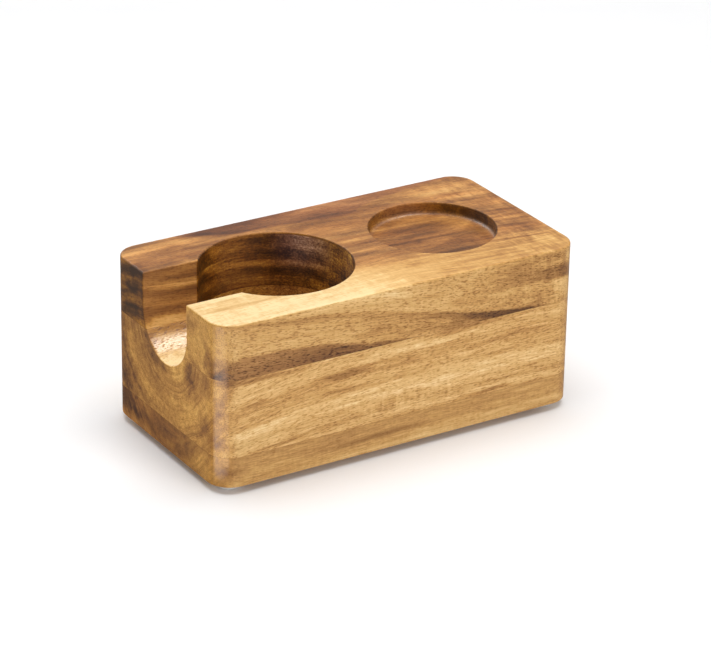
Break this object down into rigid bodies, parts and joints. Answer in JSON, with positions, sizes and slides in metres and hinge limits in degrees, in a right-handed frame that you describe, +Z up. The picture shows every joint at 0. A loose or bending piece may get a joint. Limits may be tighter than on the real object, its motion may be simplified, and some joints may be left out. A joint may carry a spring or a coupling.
{
  "type": "tamping station",
  "caption": "Laminated wooden tamping station with a deep round portafilter pocket, a half-round handle slot, a shallow tamper recess and clear bumper feet.",
  "frame": {"origin": "on the counter under the middle of the block, at the level of the feet's contact faces", "axes": "+X along the length, away from the handle slot; -Y towards the long front side; +Z up"},
  "size_m": [0.19, 0.1, 0.0825],
  "materials": {
    "wood_top": "satin oiled acacia",
    "wood_middle": "satin oiled acacia",
    "wood_base": "satin oiled acacia",
    "clear_bumper": "clear soft polyurethane",
    "adhesive_film": "clear acrylic adhesive"
  },
  "bodies": {
    "root": {"top_board": "wood_top", "middle_board": "wood_middle", "base_board": "wood_base", "foot_front_left": "clear_bumper", "foot_front_right": "clear_bumper", "foot_rear_left": "clear_bumper", "foot_rear_right": "clear_bumper", "adhesive_front_left": "adhesive_film", "adhesive_front_right": "adhesive_film", "adhesive_rear_left": "adhesive_film", "adhesive_rear_right": "adhesive_film"}
  },
  "joints": []
}
